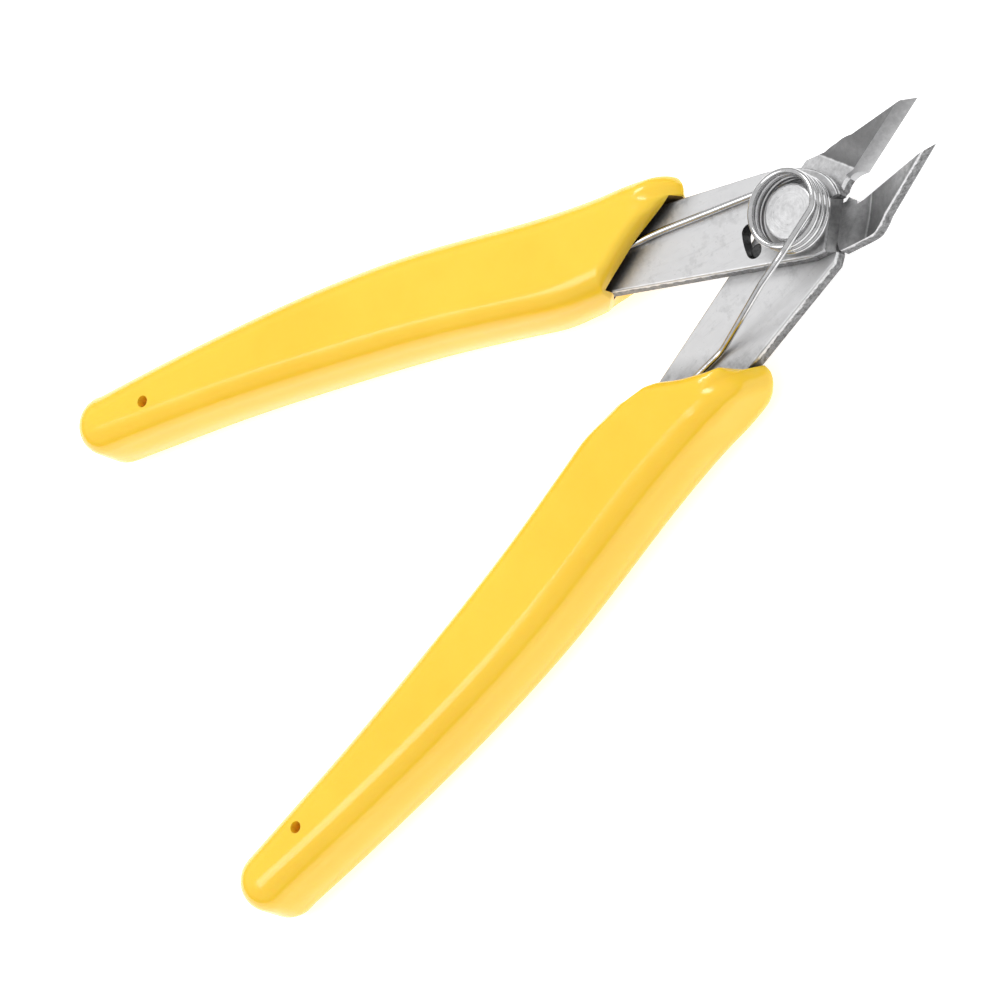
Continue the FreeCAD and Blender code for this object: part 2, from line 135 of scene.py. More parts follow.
# The mouth's wider stretch: the lip moved this far in, this much room beside the arm, and its heights
FLARE_SHIFT = (-9.0, 1.2)
FLARE_BELLY = 0.05
FLARE_BACK = 0.4
FLARE_BACK_STOP = 0.35
FLARE_LOW = -1.1
FLARE_HIGH = PLATE + 1.2

# Spring
WIRE_R = 0.44
WIRE_STEP = 0.22
WIRE_SIDES = 20
COIL_R = 4.85
COIL_BOTTOM = 2.62
COIL_PITCH = 1.08
LEG_IN_ANGLE = 75.4
LEG_OUT_ANGLE = -20.0
COIL_TURNS = 3
COIL_POINTS = 240
# Bends of the lower leg: how far along it, and how far across and down from straight
LOWER_LEG_BENDS = [(0, 0, 0), (3.0, 0, 0), (21.0, 0, 0.12), (29.5, 0.7, 0.12)]
LOWER_LEG_RADII = [15.0, 40.0]
UPPER_LEG_RADII = [2.0, 6.0, 3.0, 5.0]
PLATE_GAP = 0.03

# Rivet: radii, and heights of its head, shank and tail
HEAD_R = 3.7
HEAD_TOP = 4.45
HEAD_LOW = 2.02
HEAD_EDGE = 0.35
SHANK_R = 2.5
TAIL_R = 3.3
TAIL_TOP = -2.0
TAIL_EDGE = 0.5


# ---------------------------------------------------------------------------
# Mesh helpers
# ---------------------------------------------------------------------------

def mesh_object(name, verts, faces, matrix, smooth_angle=40.0):
    """A smooth-shaded object from points in mm and their matrix into the row frame."""
    mesh = bpy.data.meshes.new(name)
    mesh.from_pydata([matrix @ Vector(v) for v in verts], [], faces)
    obj = bpy.data.objects.new(name, mesh)
    bpy.context.scene.collection.objects.link(obj)
    clean_mesh(obj, smooth_angle)
    return obj


def clean_mesh(obj, smooth_angle):
    """Welds, turns the normals outwards and keeps only real creases sharp."""
    bm = bmesh.new()
    bm.from_mesh(obj.data)
    bmesh.ops.remove_doubles(bm, verts=bm.verts, dist=0.002 * MM)
    bmesh.ops.dissolve_degenerate(bm, edges=bm.edges, dist=0.001 * MM)
    bmesh.ops.recalc_face_normals(bm, faces=bm.faces)
    bm.to_mesh(obj.data)
    bm.free()
    for polygon in obj.data.polygons:
        polygon.use_smooth = True
    obj.data.set_sharp_from_angle(angle=math.radians(smooth_angle))


def drop_fins(obj):
    """Removes the paired triangles, back to back with no thickness, that a cut can leave at an edge."""
    bm = bmesh.new()
    bm.from_mesh(obj.data)
    bmesh.ops.triangulate(bm, faces=bm.faces)
    twins = {}
    for face in bm.faces:
        twins.setdefault(frozenset(vert.index for vert in face.verts), []).append(face)
    fins = [face for pair in twins.values() if len(pair) > 1 for face in pair]
    bmesh.ops.delete(bm, geom=fins, context="FACES")
    bm.to_mesh(obj.data)
    bm.free()


def grid_faces(rows, columns, closed=False):
    """Quads of a grid of points stored row by row."""
    faces = []
    for i in range(rows - 1):
        for j in range(columns - (0 if closed else 1)):
            k = (j + 1) % columns
            here, below = i * columns, (i + 1) * columns
            faces.append((here + j, here + k, below + k, below + j))
    return faces


def spline(points, count):
    """Points along a smooth curve through the given ones."""
    p = np.array(points, float)
    chord = np.concatenate([[0], np.cumsum(np.linalg.norm(np.diff(p, axis=0), axis=1))])
    n = len(p)
    system = np.zeros((n, n))
    right = np.zeros((n, p.shape[1]))
    system[0, 0] = system[-1, -1] = 1
    for i in range(1, n - 1):
        before, after = chord[i] - chord[i - 1], chord[i + 1] - chord[i]
        system[i, i - 1:i + 2] = before, 2 * (before + after), after
        right[i] = 6 * ((p[i + 1] - p[i]) / after - (p[i] - p[i - 1]) / before)
    bend = np.linalg.solve(system, right)
    made = []
    for s in np.linspace(0, chord[-1], count):
        i = min(np.searchsorted(chord, s, side="right") - 1, n - 2)
        width = chord[i + 1] - chord[i]
        a, b = (chord[i + 1] - s) / width, (s - chord[i]) / width
        curve = ((a ** 3 - a) * bend[i] + (b ** 3 - b) * bend[i + 1]) * width * width / 6
        made.append(a * p[i] + b * p[i + 1] + curve)
    return np.array(made)


def arc_through(a, b, c, count):
    """Points of the circle arc from a through b to c in the plan."""
    (ax, ay), (bx, by), (cx, cy) = a, b, c
    d = 2 * (ax * (by - cy) + bx * (cy - ay) + cx * (ay - by))
    squares = [ax * ax + ay * ay, bx * bx + by * by, cx * cx + cy * cy]
    ux = np.dot(squares, [by - cy, cy - ay, ay - by]) / d
    uy = np.dot(squares, [cx - bx, ax - cx, bx - ax]) / d
    radius = math.hypot(ax - ux, ay - uy)
    start = math.atan2(ay - uy, ax - ux)
    turn = (math.atan2(cy - uy, cx - ux) - start) % (2 * math.pi)
    through = (math.atan2(by - uy, bx - ux) - start) % (2 * math.pi)
    if through > turn:
        turn -= 2 * math.pi
    angles = start + turn * np.linspace(0, 1, count)
    return np.stack([ux + radius * np.cos(angles), uy + radius * np.sin(angles)], axis=1)


def walk(line, shares):
    """Points at the given shares of a polyline's length."""
    steps = np.linalg.norm(np.diff(line, axis=0), axis=1)
    along = np.concatenate([[0], np.cumsum(steps)])
    at = np.array(shares) * along[-1]
    return np.stack([np.interp(at, along, line[:, k]) for k in range(line.shape[1])], axis=1)


def distance_to(points, line):
    """Distance in the plan from each point to a polyline."""
    a, b = line[:-1], line[1:]
    ab = b - a
    ap = points[:, None, :] - a[None, :, :]
    t = np.clip((ap * ab).sum(2) / (ab * ab).sum(1), 0, 1)
    return np.linalg.norm(ap - t[:, :, None] * ab, axis=2).min(1)


def boolean_cut(obj, cutter, slot):
    """Cuts one object out of another, gives the cut's faces a material slot, and removes the cutter."""
    for material in obj.data.materials:
        cutter.data.materials.append(material)
    for polygon in cutter.data.polygons:
        polygon.material_index = slot
    modifier = obj.modifiers.new("cut", "BOOLEAN")
    modifier.operation = "DIFFERENCE"
    modifier.solver = "EXACT"
    modifier.material_mode = "INDEX"
    modifier.object = cutter
    with bpy.context.temp_override(object=obj, active_object=obj, selected_objects=[obj]):
        bpy.ops.object.modifier_apply(modifier=modifier.name)
    bpy.data.objects.remove(cutter)


def prism(plan, low, high, matrix):
    """Cutter over a plan polygon, between two heights."""
    n = len(plan)
    verts = [(x, y, low) for x, y in plan] + [(x, y, high) for x, y in plan]
    faces = [tuple(range(n)), tuple(range(n, 2 * n))]
    faces += [(i, (i + 1) % n, n + (i + 1) % n, n + i) for i in range(n)]
    return mesh_object("cutter", verts, faces, matrix)


# ---------------------------------------------------------------------------
# Grips
# ---------------------------------------------------------------------------

def smoothstep(value, low, high):
    """Rises smoothly from 0 to 1 between two values."""
    share = np.clip((value - low) / (high - low), 0, 1)
    return share * share * (3 - 2 * share)


def drop(distance, radius):
    """How far a rounded edge of this radius has fallen at a distance inside the outline."""
    short = radius - np.minimum(np.maximum(distance, 0), radius)
    return radius - np.sqrt(np.maximum(radius * radius - short * short, 0))


def grip_grid():
    """Plan points of the sleeve's broad side, station by station from the end to the lip."""
    end = arc_through(GRIP_BACK[0], GRIP_APEX, GRIP_BELLY[0], 81)
    apex = int(np.argmin(np.linalg.norm(end - np.array(GRIP_APEX), axis=1)))
    outer = np.concatenate([end[:apex + 1][::-1], spline(GRIP_BACK + GRIP_EAR[1:], 400)[1:]])
    inner = np.concatenate([end[apex:], spline(GRIP_BELLY, 400)[1:]])
    lip = spline(GRIP_LIP, 200)
    cap = BODY_FROM * np.linspace(0, 1, 15)[:-1] ** 2
    body = np.linspace(BODY_FROM, MOUTH_FROM, 60)[:-1]
    mouth = np.linspace(MOUTH_FROM, RIM_FROM, 34)[:-1]
    rim = 1 - (1 - RIM_FROM) * (1 - np.sin(np.linspace(0, math.pi / 2, 10)))
    stations = np.concatenate([cap, body, mouth, rim])
    fillet = 1 - np.cos(np.linspace(0, math.pi / 2, 13))
    outer_points, inner_points = walk(outer, stations), walk(inner, stations)
    plan = []
    for u, o, i in zip(stations, outer_points, inner_points):
        width = np.linalg.norm(i - o)
        reach = min(0.42, SHOULDER / max(width, 1e-6))
        share = np.concatenate([
            reach * fillet,
            np.linspace(reach, 1 - reach, 14)[1:-1],
            1 - reach * fillet[::-1],
        ])
        chord = o + share[:, None] * (i - o)
        pull = np.clip((u - MOUTH_FROM) / (1 - MOUTH_FROM), 0, 1) ** 2
        bulge = walk(lip, share) - (lip[0] + share[:, None] * (lip[-1] - lip[0]))
        plan.append(chord + pull * bulge)
    side = np.concatenate([outer[::-1], inner[1:]])
    return np.array(plan), side, lip


def mouth_recess(x, y, z):
    """How far the mouth has drawn back: it leans, most of all at the ear and the inner corner."""
    ear = smoothstep(y, *EAR_Y) * smoothstep(x, *EAR_X)
    corner = smoothstep(y, *CORNER_Y) * smoothstep(x, *CORNER_X)
    middle = LIP_LEAN_MIDDLE * smoothstep(x, *MIDDLE_X)
    lean = np.maximum(np.maximum(ear, middle) * LIP_LEAN, corner * CORNER_LEAN)
    below = lean * np.maximum(LIP_LEAN_FROM - z, 0)
    above = ear * EAR_LEAN * np.maximum(z - EAR_LEAN_FROM, 0)
    return below + above


def grip_shell(name, matrix):
    """Closed sleeve: two broad sides with rounded shoulders, and the walls between them."""
    plan, side, lip = grip_grid()
    rows, columns = plan.shape[:2]
    points = plan.reshape(-1, 2)
    past_end = smoothstep(points[:, 0], GRIP_APEX[0], GRIP_APEX[0] + END_REACH)
    radius = END_ROUND + (SHOULDER - END_ROUND) * past_end
    fall_side = drop(distance_to(points, side), radius)
    fall_lip = drop(distance_to(points, lip), LIP_ROUND)
    height = GRIP_HALF - (fall_side ** 3 + fall_lip ** 3) ** (1 / 3)
    top = [(x, y, z) for (x, y), z in zip(points, height)]
    low = [(x, y, -z) for x, y, z in top]
    n = len(top)
    faces = grid_faces(rows, columns)
    faces += [tuple(n + k for k in reversed(face)) for face in grid_faces(rows, columns)]
    rim = [i * columns for i in range(rows)]
    rim += [(rows - 1) * columns + j for j in range(1, columns)]
    rim += [i * columns + columns - 1 for i in range(rows - 2, -1, -1)]
    levels = [side_wall(points[rim], height[rim], level) for level in WALL_LEVELS]
    rings = [rim]
    for k in range(len(levels)):
        first = 2 * n + k * len(rim)
        rings.append(list(range(first, first + len(rim))))
    rings.append([n + k for k in rim])
    for ring, below in zip(rings, rings[1:]):
        faces += [(ring[k], ring[k + 1], below[k + 1], below[k]) for k in range(len(rim) - 1)]
    verts = np.array(top + low + [p for level in levels for p in level])
    recess = mouth_recess(*verts.T)
    verts[:, 0] -= recess
    verts[:, 1] += RECESS_RISE * recess
    return mesh_object(name, verts, faces, matrix, 50.0)


def side_wall(plan, height, level):
    """One ring of the side wall, which bulges a little."""
    ahead = np.roll(plan, -1, axis=0) - np.roll(plan, 1, axis=0)
    ahead /= np.maximum(np.linalg.norm(ahead, axis=1), 1e-9)[:, None]
    outward = np.stack([-ahead[:, 1], ahead[:, 0]], axis=1)
    bulge = SIDE_BULGE * (1 - level * level) * smoothstep(plan[:, 0], *BULGE_FADE_X)
    bulge *= smoothstep(plan[:, 0], GRIP_APEX[0], GRIP_APEX[0] + BULGE_END_REACH)
    moved = plan + outward * bulge[:, None]
    return [(x, y, h * level) for (x, y), h in zip(moved, height)]


def back_edge(x):
    """Point of the lever's arm on its edge towards the grip's back."""
    return (x, BACK_EDGE_Y + BACK_EDGE_SLOPE * x)


def belly_edge(x):
    """Point of the lever's arm on its edge towards the grip's belly."""
    return (x, BELLY_EDGE_Y + BELLY_EDGE_SLOPE * x)


def tang_plan(grow):
    """The lever's arm and tang, grown by a little."""
    end = np.array(TANG_END)
    radius = TANG_R + grow
    along = np.array(TANG_RUN) / math.hypot(*TANG_RUN)
    across = np.array((-along[1], along[0]))
    turn = np.linspace(-math.pi / 2, math.pi / 2, 9)
    nose = [end + radius * (math.cos(a) * along + math.sin(a) * across) for a in turn]
    back = [np.array(back_edge(x)) + (0, grow) for x in (ARM_TO, ARM_FROM)]
    belly = [np.array(belly_edge(x)) - (0, grow) for x in (ARM_FROM, ARM_TO)]
    if np.linalg.norm(nose[0] - belly[-1]) > np.linalg.norm(nose[-1] - belly[-1]):
        nose = nose[::-1]
    return [tuple(p) for p in belly + nose + back]


def flare_plan():
    """The mouth's wider stretch round the lever, as deep as the lip is slanted."""
    deep = [(x + FLARE_SHIFT[0], y + FLARE_SHIFT[1]) for x, y in reversed(GRIP_LIP)]
    inside = [(x, y) for x, y in deep
              if belly_edge(x)[1] - FLARE_BELLY < y < back_edge(x)[1] + FLARE_BACK_STOP]
    belly = [belly_edge(x) for x in (ARM_FROM, inside[0][0])]
    back = [back_edge(x) for x in (inside[-1][0], ARM_FROM)]
    return [(x, y - FLARE_BELLY) for x, y in belly] + inside + [(x, y + FLARE_BACK) for x, y in back]


def grip(name, matrix, body, node, skin, pocket):
    """Sleeve with its tang pocket, the mouth's wider stretch and the small hole near its end."""
    obj = grip_shell(name, matrix)
    obj.data.materials.append(skin)
    obj.data.materials.append(pocket)
    hole = [(HOLE_AT[0] + HOLE_R * math.cos(a), HOLE_AT[1] + HOLE_R * math.sin(a))
            for a in np.linspace(0, 2 * math.pi, 33)[:-1]]
    # The tang and flare cuts give their faces the second material, painted shade inside the mouth.
    boolean_cut(obj, prism(tang_plan(TANG_GAP), 0.0, PLATE + TANG_GAP, matrix), 1)
    boolean_cut(obj, prism(flare_plan(), FLARE_LOW, FLARE_HIGH, matrix), 1)
    boolean_cut(obj, prism(hole, -9.0, 9.0, matrix), 0)
    clean_mesh(obj, 50.0)
    drop_fins(obj)
    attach(obj, body)
    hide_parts(node)


# ---------------------------------------------------------------------------
# Spring and rivet
# ---------------------------------------------------------------------------

def bent_run(points, radii):
    """Straight runs joined by tangent arcs, as wire is bent."""
    made = [points[0]]
    for before, at, after, radius in zip(points, points[1:], points[2:], radii):
        back, ahead = (before - at).normalized(), (after - at).normalized()
        half = back.angle(ahead) / 2
        middle = (back + ahead).normalized()
        centre = at + middle * radius / math.sin(half)
        start = (at + back * radius / math.tan(half) - centre).normalized()
        end = (at + ahead * radius / math.tan(half) - centre).normalized()
        for k in range(9):
            made.append(centre + start.slerp(end, k / 8) * radius)
    made.append(points[-1])
    return made


def on_circle(radius, degrees, z):
    """Point at an angle round the pivot."""
    a = math.radians(degrees)
    return Vector((radius * math.cos(a), radius * math.sin(a), z))


def spring_path():
    """Centre line of the wire, from the end in the front grip to the end in the rear grip."""
    start = on_circle(COIL_R, LEG_IN_ANGLE, COIL_BOTTOM)
    away = on_circle(1, LEG_IN_ANGLE + 90, 0)
    lower = [start + away * along - Vector((0, across, down)) for along, across, down in LOWER_LEG_BENDS]
    path = bent_run(lower, LOWER_LEG_RADII)[::-1]
    turned = COIL_TURNS * 360 + LEG_IN_ANGLE - LEG_OUT_ANGLE
    top = COIL_BOTTOM + COIL_PITCH * turned / 360
    for k in range(1, COIL_POINTS + 1):
        share = k / COIL_POINTS
        height = COIL_BOTTOM + (top - COIL_BOTTOM) * share
        path.append(on_circle(COIL_R, LEG_IN_ANGLE - turned * share, height))
    rest = WIRE_R + PLATE_GAP
    end = on_circle(COIL_R, LEG_OUT_ANGLE, top)
    upper = [
        end,
        end + on_circle(0.9, LEG_OUT_ANGLE - 90, 0),
        Vector((-2.4, -5.75, top + 0.05)),
        Vector((-6.9, -6.75, 5.0)),
        Vector((-17.7, -8.8, rest)),
        Vector((-28.0, -10.7, rest)),
    ]
    return path + bent_run(upper, UPPER_LEG_RADII)[1:]


def even(points, step):
    """The same line with evenly spaced points."""
    line = np.array([tuple(p) for p in points])
    keep = np.concatenate([[True], np.linalg.norm(np.diff(line, axis=0), axis=1) > 1e-5])
    line = line[keep]
    length = np.linalg.norm(np.diff(line, axis=0), axis=1).sum()
    return walk(line, np.linspace(0, 1, int(length / step) + 1))


def tube(name, points, radius, sides, matrix):
    """Round wire along a line, with domed ends."""
    dome = [(0.5, 0.15), (0.42, 0.6), (0.2, 0.9), (0.0, 1.0)]
    line = [Vector(p) for p in points]
    angles = np.linspace(0, 2 * math.pi, sides + 1)[:-1]
    rings = []
    side = None
    for i, at in enumerate(line):
        ahead = (line[min(i + 1, len(line) - 1)] - line[max(i - 1, 0)]).normalized()
        side = ahead.orthogonal() if side is None else side - ahead * side.dot(ahead)
        side.normalize()
        across = ahead.cross(side)
        sizes = [(0.0, 1.0)]
        if i == 0:
            sizes = [(-reach, size) for reach, size in dome]
        if i == len(line) - 1:
            sizes = dome[::-1]
        for shift, size in sizes:
            centre = at + ahead * shift * radius
            rings.append([
                centre + (side * math.cos(a) + across * math.sin(a)) * radius * size
                for a in angles
            ])
    verts = [tuple(v) for ring in rings for v in ring]
    faces = grid_faces(len(rings), sides, closed=True)
    faces.append(tuple(range(sides))[::-1])
    faces.append(tuple(range(len(verts) - sides, len(verts))))
    return mesh_object(name, verts, faces, matrix)


def spring():
    """The wire as one round tube along its centre line, in place of the CAD spring."""
    obj = tube("spring", even(spring_path(), WIRE_STEP), WIRE_R, WIRE_SIDES, SPACE)
    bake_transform(obj)
    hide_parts("torsion_spring")
    return obj


def rivet_profile():
    """Half section of the rivet, from the centre of its head down to the centre of its tail."""
    face = HEAD_TOP - 0.02
    head = [(0.0, face), (0.25, face - 0.02), (0.5, face)]
    head += [(0.8 + 0.16 * k, face + (0.008 if k % 2 else -0.004)) for k in range(16)]
    for a in np.linspace(0.1, math.pi / 2, 7):
        head.append((HEAD_R - HEAD_EDGE * (1 - math.sin(a)), HEAD_TOP - HEAD_EDGE * (1 - math.cos(a))))
    shank = [
        (HEAD_R, 2.1), (3.64, HEAD_LOW), (SHANK_R, HEAD_LOW),
        (SHANK_R, TAIL_TOP), (3.26, TAIL_TOP), (TAIL_R, -2.05),
    ]
    tail = []
    for a in np.linspace(0, math.pi / 2, 7):
        tail.append((TAIL_R - TAIL_EDGE * (1 - math.cos(a)), -2.4 - TAIL_EDGE * math.sin(a)))
    return head + shank + tail + [(1.6, -2.9), (1.2, -2.78), (0.0, -2.74)]


def rivet():
    """The profile turned about the pivot."""
    sides = 96
    profile = rivet_profile()
    verts = []
    for r, z in profile:
        for a in np.linspace(0, 2 * math.pi, sides + 1)[:-1]:
            verts.append((r * math.cos(a), r * math.sin(a), z))
    obj = mesh_object("rivet", verts, grid_faces(len(profile), sides, closed=True), SPACE, 35.0)
    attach(obj, "rear_half")
    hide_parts("pivot_rivet")
    return obj


# ---------------------------------------------------------------------------
# Material helpers
# ---------------------------------------------------------------------------

def new_material(name):
    """Empty node material."""
    material = bpy.data.materials.new(name)
    material.use_nodes = True
    material.node_tree.nodes.clear()
    return material, material.node_tree


def add(tree, kind, settings=None, **inputs):
    """A shader node. Inputs are numbers, colours or other nodes' sockets."""
    node = tree.nodes.new("ShaderNode" + kind)
    for key, value in (settings or {}).items():
        setattr(node, key, value)
    for key, value in inputs.items():
        key = int(key[1:]) if key[0] == "i" and key[1:].isdigit() else key.replace("_", " ")
        if isinstance(value, bpy.types.NodeSocket):
            tree.links.new(value, node.inputs[key])
        else:
            node.inputs[key].default_value = value
    return node


def math_node(tree, operation, a, b=0.0, clamp=False):
    """One step of arithmetic in a material."""
    settings = {"operation": operation, "use_clamp": clamp}
    return add(tree, "Math", settings, i0=a, i1=b).outputs[0]


def times(tree, a, b):
    """Product of two values in a material."""
    return math_node(tree, "MULTIPLY", a, b)


def plus(tree, a, b):
    """Sum of two values in a material."""
    return math_node(tree, "ADD", a, b)


def minus(tree, a, b):
    """Difference of two values in a material."""
    return math_node(tree, "SUBTRACT", a, b)


def plan_radius(tree, x, y):
    """Distance from the pivot in the plan."""
    return math_node(tree, "SQRT", plus(tree, times(tree, x, x), times(tree, y, y)))


def remap(tree, value, low, high, to_low=0.0, to_high=1.0, smooth=False):
    """Value stretched from one range to another, held at its ends."""
    kind = "SMOOTHSTEP" if smooth else "LINEAR"
    settings = {"interpolation_type": kind, "clamp": True}
    node = add(tree, "MapRange", settings, Value=value)
    for key, number in (("From Min", low), ("From Max", high), ("To Min", to_low), ("To Max", to_high)):
        node.inputs[key].default_value = number
    return node.outputs["Result"]


def mix_colour(tree, share, a, b):
    """Colour between two others."""
    node = add(tree, "Mix", {"data_type": "RGBA"})
    for index, value in ((0, share), (6, a), (7, b)):
        if isinstance(value, bpy.types.NodeSocket):
            tree.links.new(value, node.inputs[index])
        else:
            node.inputs[index].default_value = value if index == 0 else (*value, 1)
    return node.outputs[2]


def mix_value(tree, share, a, b):
    """Value between two others."""
    node = add(tree, "Mix", {"data_type": "FLOAT"}, i0=share, i2=a, i3=b)
    return node.outputs[0]


def mix_vector(tree, share, a, b):
    """Direction between two others."""
    node = add(tree, "Mix", {"data_type": "VECTOR"}, i0=share, i4=a, i5=b)
    return node.outputs[1]


def frame_coordinates(tree, matrix):
    """Surface position in mm in a pivot or closed frame."""
    back = matrix.inverted()
    where = add(tree, "TexCoord").outputs["Object"]
    rows = []
    for k in range(3):
        row = back[k]
        dot = add(tree, "VectorMath", {"operation": "DOT_PRODUCT"}, i0=where, i1=tuple(row[:3]))
        rows.append(math_node(tree, "ADD", dot.outputs["Value"], row[3]))
    return add(tree, "CombineXYZ", X=rows[0], Y=rows[1], Z=rows[2]).outputs[0], rows


def noise(tree, vector, scale, detail=3.0, roughness=0.5, stretch=(1, 1, 1)):
    """Noise with its features this many to a mm, stretched by an amount along each axis."""
    shrink = tuple(1 / s for s in stretch)
    scaled = add(tree, "VectorMath", {"operation": "MULTIPLY"}, i0=vector, i1=shrink).outputs[0]
    look = {"Scale": scale, "Detail": detail, "Roughness": roughness}
    return add(tree, "TexNoise", None, Vector=scaled, **look).outputs["Fac"]


def bump(tree, height, strength, distance_mm, normal=None):
    """Normal tilted by a height."""
    node = add(tree, "Bump", None, Height=height, Strength=strength, Distance=distance_mm * MM)
    if normal is not None:
        tree.links.new(normal, node.inputs["Normal"])
    return node.outputs["Normal"]


def blot(tree, mask, amount, tone, value):
    """The tone with a grey laid over it where the mask is, this strongly."""
    return mix_colour(tree, times(tree, mask, amount), tone, grey(value))


def steel(tree, tone, rough, normal):
    """Metal surface."""
    surface(tree, Base_Color=tone, Metallic=1.0, Roughness=rough, Normal=normal)


def surface(tree, **inputs):
    """Surface of a material, by the names of its inputs."""
    shader = add(tree, "BsdfPrincipled", None, **inputs)
    add(tree, "OutputMaterial", None, Surface=shader.outputs[0])


def grey(value):
    """Grey of this lightness, as a colour."""
    return (value, value, value * 1.01)


# ---------------------------------------------------------------------------
# Materials
# ---------------------------------------------------------------------------

def sheared_material(name, matrix):
    """Stamped wall of a plate: a bright burnished band above a rough, dark broken one."""
    material, tree = new_material(name)
    where, (x, _, z) = frame_coordinates(tree, matrix)
    past_bend = math_node(tree, "MAXIMUM", minus(tree, x, BEND_X), 0.0)
    flat_z = minus(tree, z, times(tree, past_bend, BEND_SLOPE))
    plates_up = math_node(tree, "DIVIDE", plus(tree, flat_z, 2 * PLATE + 0.01), PLATE)
    depth = math_node(tree, "FRACT", plates_up)
    wobble = noise(tree, where, 0.9, 3.0, 0.6)
    edge = plus(tree, depth, remap(tree, wobble, 0.3, 0.7, -0.14, 0.14))
    burnished = remap(tree, edge, 0.66, 0.78, smooth=True)
    streaks = noise(tree, where, 2.4, 5.0, 0.7, (1, 1, 5))
    pits = noise(tree, where, 2.0, 6.0, 0.75)
    broken = mix_colour(tree, remap(tree, pits, 0.35, 0.65), grey(0.10), grey(0.34))
    bright = mix_colour(tree, remap(tree, streaks, 0.35, 0.65), grey(0.48), grey(0.66))
    tone = mix_colour(tree, burnished, broken, bright)
    rough = remap(tree, burnished, 0.0, 1.0, 0.55, 0.28)
    normal = bump(tree, streaks, 0.5, 0.05)
    normal = bump(tree, pits, 0.6, 0.06, normal)
    steel(tree, tone, rough, normal)
    return material


def ground_material(name, matrix, low_tone, high_tone):
    """Ground face of a jaw: fine grinding marks square to the cutting edge."""
    material, tree = new_material(name)
    where, (x, _, _) = frame_coordinates(tree, matrix)
    marks = noise(tree, where, 5.0, 5.0, 0.65, (0.35, 7, 7))
    mottle = noise(tree, where, 1.5, 5.0, 0.7)
    along = remap(tree, x, BEND_X, 20.0, 0.0, 1.0)
    share = math_node(tree, "ADD", along, remap(tree, mottle, 0.3, 0.7, -0.35, 0.35), clamp=True)
    tone = mix_colour(tree, share, grey(low_tone), grey(high_tone))
    rough = remap(tree, marks, 0.3, 0.7, 0.38, 0.5)
    normal = bump(tree, marks, 0.5, 0.02)
    normal = bump(tree, mottle, 0.3, 0.05, normal)
    steel(tree, tone, rough, normal)
    return material


def ramp(tree, value, low, high, stops):
    """A grey that runs through tones given at places between two values."""
    node = add(tree, "ValToRGB", None, Fac=remap(tree, value, low, high))
    elements = node.color_ramp.elements
    while len(elements) < len(stops):
        elements.new(0.5)
    for element, (place, tone) in zip(elements, stops):
        element.position = (place - low) / (high - low)
        element.color = (*grey(tone), 1)
    return node.outputs["Color"]


def painted_shade_by_mouth_and_coil(tree, x, y, mottle):
    """Painted shade on a plate: a mottled darkening along the grip's mouth, under its lip, and round the
    spring's coil.
    """
    from_mouth = plus(tree, times(tree, x, MOUTH_ACROSS[0]), times(tree, y, MOUTH_ACROSS[1]))
    mouth = remap(tree, from_mouth, MOUTH_LINE + 3.2, MOUTH_LINE, smooth=True)
    coil = remap(tree, plan_radius(tree, x, y), 8.0, 5.2, 0.0, 0.7, smooth=True)
    near = math_node(tree, "MAXIMUM", mouth, coil)
    return times(tree, near, remap(tree, mottle, 0.3, 0.65, 0.45, 1.0))


def plate_look(tree, where, x, y):
    """Satin rolled plate: fine grain along the lever, faint scratches and dull marks, with painted shade
    by the grip's mouth and round the coil.
    """
    grain = noise(tree, where, 9.0, 4.0, 0.6, (9, 1, 1))
    mottle = noise(tree, where, 0.8, 6.0, 0.65)
    cloud = noise(tree, where, 0.16, 3.0, 0.5)
    specks = remap(tree, noise(tree, where, 3.2, 4.0, 0.7), 0.63, 0.74)
    scratch = remap(tree, noise(tree, where, 3.0, 2.0, 0.5, (14, 0.6, 1)), 0.66, 0.72)
    smudge = remap(tree, times(tree, mottle, cloud), 0.27, 0.40, smooth=True)
    streak = remap(tree, noise(tree, where, 1.6, 4.0, 0.65, (7, 1, 1)), 0.52, 0.72, smooth=True)
    tone = mix_colour(tree, remap(tree, cloud, 0.3, 0.7), grey(PLATE_LIGHT * 0.94), grey(PLATE_LIGHT))
    tone = blot(tree, streak, 0.28, tone, PLATE_LIGHT * 0.62)
    tone = blot(tree, smudge, 0.35, tone, PLATE_LIGHT * 0.55)
    tone = blot(tree, specks, 0.45, tone, PLATE_LIGHT * 0.4)
    # Painted shade: the plate darkened under the grip's lip and round the coil.
    tone = blot(tree, painted_shade_by_mouth_and_coil(tree, x, y, mottle), 0.65, tone, PLATE_LIGHT * 0.22)
    rough = remap(tree, grain, 0.3, 0.7, 0.34, 0.46)
    rough = plus(tree, rough, remap(tree, mottle, 0.3, 0.7, -0.03, 0.05))
    rough = minus(tree, rough, times(tree, scratch, 0.08))
    height = plus(tree, times(tree, grain, 0.5), times(tree, scratch, -0.6))
    normal = bump(tree, height, 0.35, 0.012)
    return tone, rough, bump(tree, mottle, 0.25, 0.03, normal)


def hollow_normal(tree, across, matrix, skew, bends):
    """Normal of a jaw's hollow top, which turns up gradually across its slanted foot."""
    (from_u, from_angle), (to_u, to_angle) = bends
    low, high = math.radians(from_angle), math.radians(to_angle)
    angle = remap(tree, across, from_u, to_u, low, high, smooth=True)
    uphill = (matrix.to_3x3() @ Vector((-1, skew, 0))).normalized()
    scale = {"operation": "SCALE"}
    side = add(tree, "VectorMath", scale, i0=tuple(uphill), Scale=math_node(tree, "SINE", angle))
    rise = add(tree, "VectorMath", scale, i0=(0, 0, 1), Scale=math_node(tree, "COSINE", angle))
    total = add(tree, "VectorMath", {"operation": "ADD"}, i0=side.outputs[0], i1=rise.outputs[0])
    settings = {"vector_type": "NORMAL", "convert_from": "OBJECT", "convert_to": "WORLD"}
    return add(tree, "VectorTransform", settings, Vector=total.outputs[0]).outputs[0]


